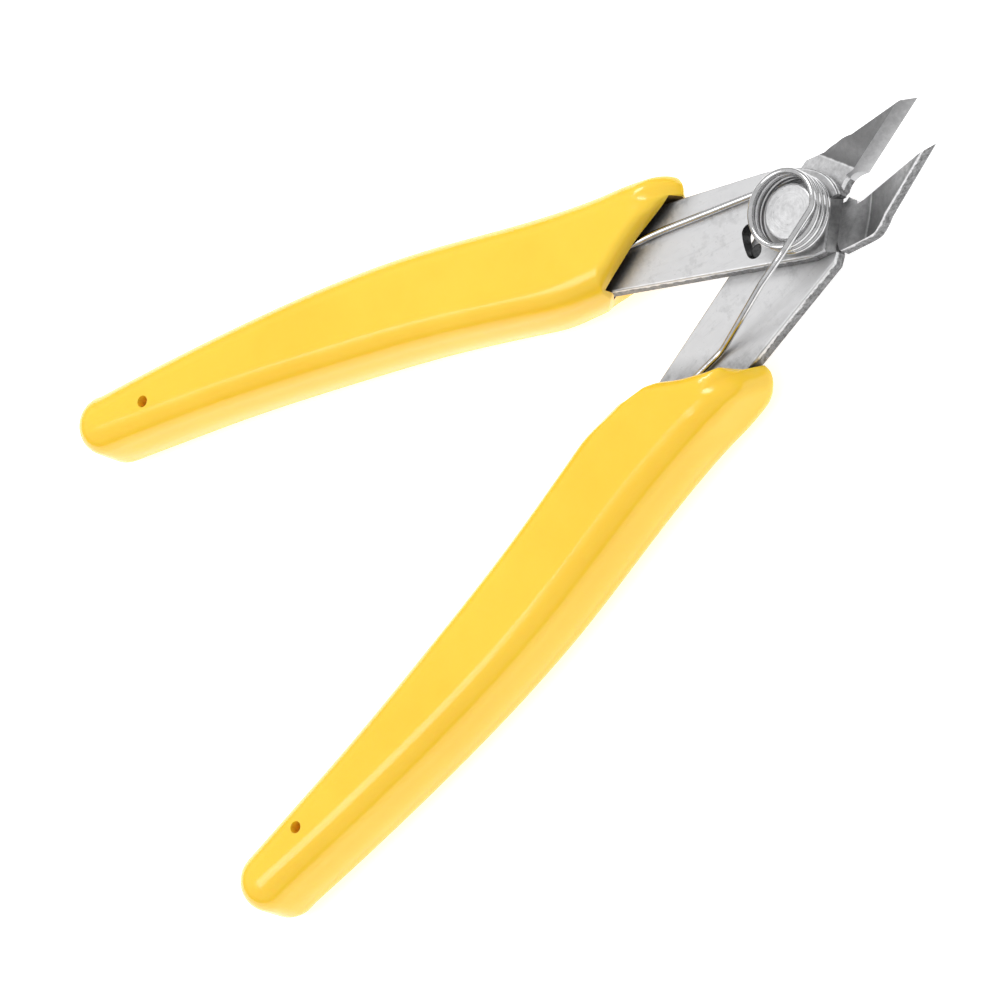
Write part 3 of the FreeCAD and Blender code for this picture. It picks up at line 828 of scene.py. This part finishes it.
def jaw_look(tree, where, across, tones, normal):
    """Pressed top of neck and jaw: its tone follows the distance from the facet's slanted foot, with a
    painted highlight along that foot.
    """
    mottle = noise(tree, where, 1.3, 6.0, 0.7)
    marks = noise(tree, where, 3.0, 5.0, 0.65, (5, 1, 1))
    specks = remap(tree, noise(tree, where, 4.0, 4.0, 0.7), 0.60, 0.70)
    wobble = remap(tree, mottle, 0.3, 0.7, -0.04, 0.04)
    tone = ramp(tree, plus(tree, across, wobble), 2.0, 24.0, tones)
    tone = blot(tree, remap(tree, mottle, 0.35, 0.7), 0.4, tone, 0.12)
    tone = blot(tree, specks, 0.35, tone, 0.09)
    rough = remap(tree, marks, 0.3, 0.7, 0.28, 0.42)
    normal = bump(tree, marks, 0.5, 0.03, normal)
    return tone, rough, bump(tree, mottle, 0.4, 0.06, normal)


def underside_material(name, matrix):
    """Broad underside of a lever: satin plate all over."""
    material, tree = new_material(name)
    where, (x, y, _) = frame_coordinates(tree, matrix)
    tone, rough, normal = plate_look(tree, where, x, y)
    steel(tree, tone, rough, normal)
    return material


def lever_top_material(name, matrix, skew, tones, bends):
    """Broad top of a lever: satin plate behind the step, pressed and ground steel past it."""
    material, tree = new_material(name)
    where, (x, y, z) = frame_coordinates(tree, matrix)
    across = minus(tree, x, times(tree, y, skew))
    past_bend = remap(tree, x, BEND_X - FINISH_BLUR, BEND_X + FINISH_BLUR)
    past_step = remap(tree, x, STEP_X - FINISH_BLUR, STEP_X + FINISH_BLUR)
    past_step = times(tree, past_step, remap(tree, z, 1.0, 0.6))
    share = math_node(tree, "MAXIMUM", past_bend, past_step)
    plate = plate_look(tree, where, x, y)
    jaw = jaw_look(tree, where, across, tones, hollow_normal(tree, across, matrix, skew, bends))
    tone = mix_colour(tree, share, plate[0], jaw[0])
    rough = mix_value(tree, share, plate[1], jaw[1])
    normal = mix_vector(tree, share, plate[2], jaw[2])
    steel(tree, tone, rough, normal)
    return material


def neck_shade_material(name, matrix):
    """Slope of a lever's step, dull, with painted shade: dark near the pivot and lighter towards the jaw.
    """
    material, tree = new_material(name)
    where, (x, y, _) = frame_coordinates(tree, matrix)
    mottle = noise(tree, where, 1.2, 5.0, 0.65)
    drag = noise(tree, where, 4.0, 4.0, 0.6, (6, 1, 1))
    along = remap(tree, minus(tree, x, times(tree, y, 0.5)), 4.0, 11.0)
    share = math_node(tree, "ADD", along, remap(tree, mottle, 0.3, 0.7, -0.25, 0.25), clamp=True)
    # Painted shade: the slope's grey runs from dark near the pivot to lighter towards the jaw.
    tone = mix_colour(tree, share, grey(0.22), grey(0.52))
    normal = bump(tree, drag, 0.4, 0.02)
    normal = bump(tree, mottle, 0.35, 0.05, normal)
    steel(tree, tone, remap(tree, mottle, 0.3, 0.7, 0.34, 0.46), normal)
    return material


def turned_material():
    """Rivet: turning marks about the pivot, worn dull, with a few pits."""
    material, tree = new_material("turned_steel")
    where, (x, y, _) = frame_coordinates(tree, SPACE)
    stray = remap(tree, noise(tree, where, 0.7, 3.0), 0.3, 0.7, -0.12, 0.12)
    wander = plus(tree, plan_radius(tree, x, y), stray)
    look = {"Scale": 3.2, "Detail": 5.0, "Roughness": 0.7}
    rings = add(tree, "TexNoise", {"noise_dimensions": "1D"}, W=wander, **look).outputs["Fac"]
    mottle = noise(tree, where, 1.4, 6.0, 0.7)
    pits = remap(tree, noise(tree, where, 2.4, 3.0, 0.6), 0.66, 0.74)
    tone = mix_colour(tree, remap(tree, mottle, 0.35, 0.65), grey(0.50), grey(0.66))
    tone = blot(tree, remap(tree, rings, 0.35, 0.65), 0.4, tone, 0.74)
    tone = blot(tree, pits, 0.6, tone, 0.16)
    rough = remap(tree, mottle, 0.3, 0.7, 0.34, 0.46)
    normal = bump(tree, rings, 0.5, 0.05)
    normal = bump(tree, mottle, 0.4, 0.05, normal)
    steel(tree, tone, rough, normal)
    return material


def wire_material():
    """Bright drawn wire with faint drawing lines and handling marks."""
    material, tree = new_material("drawn_wire")
    where, _ = frame_coordinates(tree, SPACE)
    fine = noise(tree, where, 6.0, 4.0, 0.6)
    cloud = noise(tree, where, 0.9, 3.0, 0.5)
    tone = mix_colour(tree, remap(tree, cloud, 0.3, 0.7), grey(0.50), grey(0.64))
    rough = remap(tree, fine, 0.3, 0.7, 0.08, 0.14)
    rough = plus(tree, rough, remap(tree, cloud, 0.4, 0.7, 0.0, 0.05))
    steel(tree, tone, rough, bump(tree, fine, 0.2, 0.01))
    return material


def painted_shade_material():
    """Near-black steel, painted shade on the stop pin and on the hole and slot walls."""
    material, tree = new_material("shade_dark_steel")
    where, _ = frame_coordinates(tree, SPACE)
    mottle = noise(tree, where, 2.0, 5.0, 0.7)
    tone = mix_colour(tree, remap(tree, mottle, 0.35, 0.65), grey(0.03), grey(0.09))
    steel(tree, tone, remap(tree, mottle, 0.3, 0.7, 0.4, 0.6), bump(tree, mottle, 0.5, 0.05))
    return material


def grip_material():
    """Glossy soft yellow plastic: slight colour drift, a wavy skin and a fine haze."""
    material, tree = new_material("grip_pvc")
    where, _ = frame_coordinates(tree, SPACE)
    drift = noise(tree, where, 0.035, 2.0, 0.5)
    cloud = noise(tree, where, 0.25, 3.0, 0.5)
    fine = noise(tree, where, 2.5, 4.0, 0.6)
    wave = noise(tree, where, 0.12, 2.0, 0.4)
    share = plus(tree, times(tree, drift, 0.7), times(tree, cloud, 0.3))
    tone = mix_colour(tree, remap(tree, share, 0.35, 0.65), (0.98, 0.600, 0.034), (1.0, 0.640, 0.044))
    rough = remap(tree, fine, 0.3, 0.7, 0.15, 0.22)
    rough = plus(tree, rough, remap(tree, cloud, 0.4, 0.7, 0.0, 0.05))
    normal = bump(tree, wave, 0.25, 0.25)
    normal = bump(tree, fine, 0.12, 0.02, normal)
    surface(
        tree, Base_Color=tone, Roughness=rough, Normal=normal,
        Subsurface_Weight=0.25, Subsurface_Radius=(1.0, 0.6, 0.15), Subsurface_Scale=0.0035,
        Coat_Weight=0.1, Coat_Roughness=0.08,
    )
    return material


def pocket_shade_material():
    """Inside of a grip's mouth, painted dark brown with a mottle as shade."""
    material, tree = new_material("grip_pocket_shade")
    where, _ = frame_coordinates(tree, SPACE)
    pocket_mottle = noise(tree, where, 0.8, 4.0, 0.6)
    tone = mix_colour(tree, remap(tree, pocket_mottle, 0.35, 0.65), (0.05, 0.035, 0.012), (0.22, 0.13, 0.02))
    surface(tree, Base_Color=tone, Roughness=remap(tree, pocket_mottle, 0.3, 0.7, 0.45, 0.7),
            Normal=bump(tree, pocket_mottle, 0.3, 0.05))
    return material


def floor_material():
    """Pale paper, lit up a little of its own so that shadows stay faint."""
    material, tree = new_material("studio_floor")
    where = add(tree, "TexCoord").outputs["Object"]
    paper = add(tree, "TexNoise", None, Vector=where, Scale=900.0, Detail=3.0).outputs["Fac"]
    tone = mix_colour(tree, paper, (0.85, 0.85, 0.85), (0.88, 0.88, 0.88))
    surface(tree, Base_Color=tone, Roughness=0.9, Specular_IOR_Level=0.0,
            Emission_Color=(1, 1, 1, 1), Emission_Strength=0.62)
    return material


def paint_lever(obj, matrix, materials):
    """Gives each face of a lever the finish of its process, by where it lies."""
    mesh = obj.data
    mesh.materials.clear()
    for material in materials.values():
        mesh.materials.append(material)
    order = list(materials)
    back = matrix.inverted()
    turn = back.to_3x3()
    for polygon in mesh.polygons:
        facing = (turn @ polygon.normal).normalized()
        polygon.material_index = order.index(finish_of(back @ polygon.center, facing))


def finish_of(at, facing):
    """Finish of a lever's face: broad top or underside, sheared wall, ground edge, step or hole."""
    upright = abs(facing.z) < 0.5
    # Hole and slot walls take the near-black material, which is painted shade.
    if upright and math.hypot(at.x, at.y) < SHANK_HOLE_REACH:
        return "dark"
    if upright and SLOT_X[0] < at.x < SLOT_X[1] and abs(at.y) < SLOT_REACH:
        return "dark"
    if facing.y > 0.6 and at.x > BEVEL_START[0] and at.y > BEVEL_START[1]:
        return "bevel"
    sloping = facing.x > 0.3 and 0.25 < facing.z < 0.95
    if sloping and 0 < at.x < STEP_END_X and 0.05 < at.z < PLATE - 0.05:
        return "neck"
    if abs(facing.z) < 0.25:
        return "sheared"
    return "top" if facing.z > 0 else "under"


# ---------------------------------------------------------------------------
# Studio
# ---------------------------------------------------------------------------

def area_light(name, direction, distance, size, power):
    """Soft lamp that shines on the middle of the tool from a direction."""
    data = bpy.data.lights.new(name, "AREA")
    data.shape = "RECTANGLE"
    data.size, data.size_y = size
    data.energy = power
    lamp = bpy.data.objects.new(name, data)
    way = Vector(direction).normalized()
    lamp.location = Vector((PIVOT.x / 2, 0, 0)) + way * distance
    lamp.rotation_mode = "QUATERNION"
    lamp.rotation_quaternion = way.to_track_quat("Z", "Y")
    bpy.context.scene.collection.objects.link(lamp)


def studio():
    """Pale floor, a world that darkens towards the horizon, and two soft lamps."""
    bpy.ops.mesh.primitive_plane_add(size=6.0, location=(0, 0, 0))
    floor = bpy.context.object
    floor.name = "floor"
    floor.data.materials.append(floor_material())
    world = bpy.data.worlds.new("studio")
    bpy.context.scene.world = world
    world.use_nodes = True
    tree = world.node_tree
    tree.nodes.clear()
    way = add(tree, "TexCoord").outputs["Generated"]
    height = add(tree, "SeparateXYZ", None, Vector=way).outputs["Z"]
    up = remap(tree, height, 0.08, 0.5, smooth=True)
    tone = mix_colour(tree, up, (0.14, 0.14, 0.14), (1.0, 1.0, 1.0))
    light = add(tree, "Background", None, Color=tone, Strength=0.82)
    add(tree, "OutputWorld", None, Surface=light.outputs[0])
    area_light("top", direction=(-0.45, -0.05, 0.89), distance=0.9, size=(0.45, 0.3), power=1.6)
    area_light("key", direction=(0.14, 0.59, 0.79), distance=0.9, size=(0.28, 0.28), power=2.2)


CAMERA_BACK = Vector((0.4121, -0.4756, 0.7772))
CAMERA_RIGHT = Vector((0.7451, -0.3151, -0.5878))
CAMERA_TARGET = Vector((-54.971, -7.677, 0.0))
CAMERA_DISTANCE = 1.0
CAMERA_LENS = 281.5
CAMERA_SENSOR = 36.0


def camera():
    """Long lens from the jaws' side, above."""
    data = bpy.data.cameras.new("camera")
    data.sensor_width = CAMERA_SENSOR
    data.lens = CAMERA_LENS
    obj = bpy.data.objects.new("camera", data)
    bpy.context.scene.collection.objects.link(obj)
    back = CAMERA_BACK.normalized()
    right = (CAMERA_RIGHT - back * CAMERA_RIGHT.dot(back)).normalized()
    up = back.cross(right)
    at = SPACE @ CAMERA_TARGET + back * CAMERA_DISTANCE
    obj.matrix_world = Matrix((
        (right.x, up.x, back.x, at.x),
        (right.y, up.y, back.y, at.y),
        (right.z, up.z, back.z, at.z),
        (0, 0, 0, 1),
    ))
    bpy.context.scene.camera = obj


# ---------------------------------------------------------------------------
# The scene
# ---------------------------------------------------------------------------

def set_material(obj, material):
    """Gives the whole of an object one material."""
    obj.data.materials.clear()
    obj.data.materials.append(material)
    for polygon in obj.data.polygons:
        polygon.material_index = 0


# Tones of neck and jaw, by distance along the jaw from the pivot, less a share (the skew) of the
# distance across it, so that a tone's line runs slantwise like the facet's foot.
# Each list holds a narrow bright band at the facet's foot, a painted highlight; on the front jaw, painted
# dark lines lie either side of it.
FRONT_JAW_TONES = [
    (4.0, 0.60), (7.0, 0.54), (10.2, 0.26), (10.5, 0.62),
    (10.7, 0.22), (13.0, 0.42), (17.0, 0.72), (22.0, 0.80),
]
REAR_JAW_TONES = [
    (4.0, 0.72), (7.5, 0.68), (9.1, 0.60), (9.35, 0.85),
    (9.5, 0.18), (12.0, 0.22), (17.0, 0.25), (22.0, 0.30),
]
FRONT_SKEW = 0.537
REAR_SKEW = 0.562
# The jaw's hollow: at which of those distances its shading starts and ends, and its tilt there in degrees
FRONT_HOLLOW = ((7.5, 2), (15.0, 24))
REAR_HOLLOW = ((9.0, 4), (14.0, 23))


def build():
    """The detailed pieces, and the finishes of the CAD nodes that stay."""
    yellow = grip_material()
    pocket = pocket_shade_material()
    grip("grip_front_sleeve", FRONT, "front_half", "grip_front", yellow, pocket)
    grip("grip_rear_sleeve", REAR_TURNED_OVER, "rear_half", "grip_rear", yellow, pocket)
    set_material(spring(), wire_material())
    set_material(rivet(), turned_material())
    dark = painted_shade_material()
    set_material(frame["nodes"]["stop_pin"], dark)
    for node, matrix, skew, tones, bends in (
        ("lever_front", FRONT, FRONT_SKEW, FRONT_JAW_TONES, FRONT_HOLLOW),
        ("lever_rear", REAR, REAR_SKEW, REAR_JAW_TONES, REAR_HOLLOW),
    ):
        materials = {
            "top": lever_top_material(node + "_top", matrix, skew, tones, bends),
            "under": underside_material(node + "_under", matrix),
            "sheared": sheared_material(node + "_sheared", matrix),
            "bevel": ground_material(node + "_bevel", matrix, 0.60, 0.38),
            "neck": neck_shade_material(node + "_neck_shade", matrix),
            "dark": dark,
        }
        paint_lever(frame["nodes"][node], matrix, materials)


build()
studio()
camera()
bpy.context.scene.view_settings.view_transform = "Standard"
